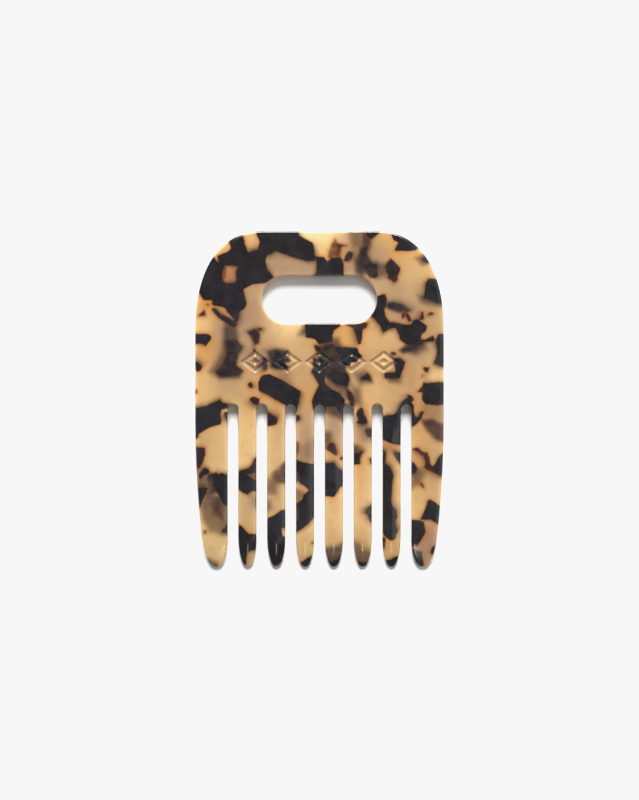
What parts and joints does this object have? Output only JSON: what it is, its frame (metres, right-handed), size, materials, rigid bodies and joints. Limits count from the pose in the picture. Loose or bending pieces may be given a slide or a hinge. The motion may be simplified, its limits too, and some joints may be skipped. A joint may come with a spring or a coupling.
{
  "type": "hair comb",
  "caption": "Flat wide-tooth hair comb cut from one sheet of polished tortoiseshell acetate, with a broad rounded handle and a stadium finger slot.",
  "frame": {"origin": "middle of the comb's outline on its back face, which is the face it rests on", "axes": "+X across the teeth, +Y from the tips of the teeth towards the handle's top edge, +Z through the sheet from the back face to the front face with the pressed band"},
  "size_m": [0.075, 0.1016, 0.004],
  "materials": {
    "acetate": "polished cellulose acetate, honey with near-black tortoiseshell chips"
  },
  "bodies": {
    "root": {"comb": "acetate"}
  },
  "joints": []
}
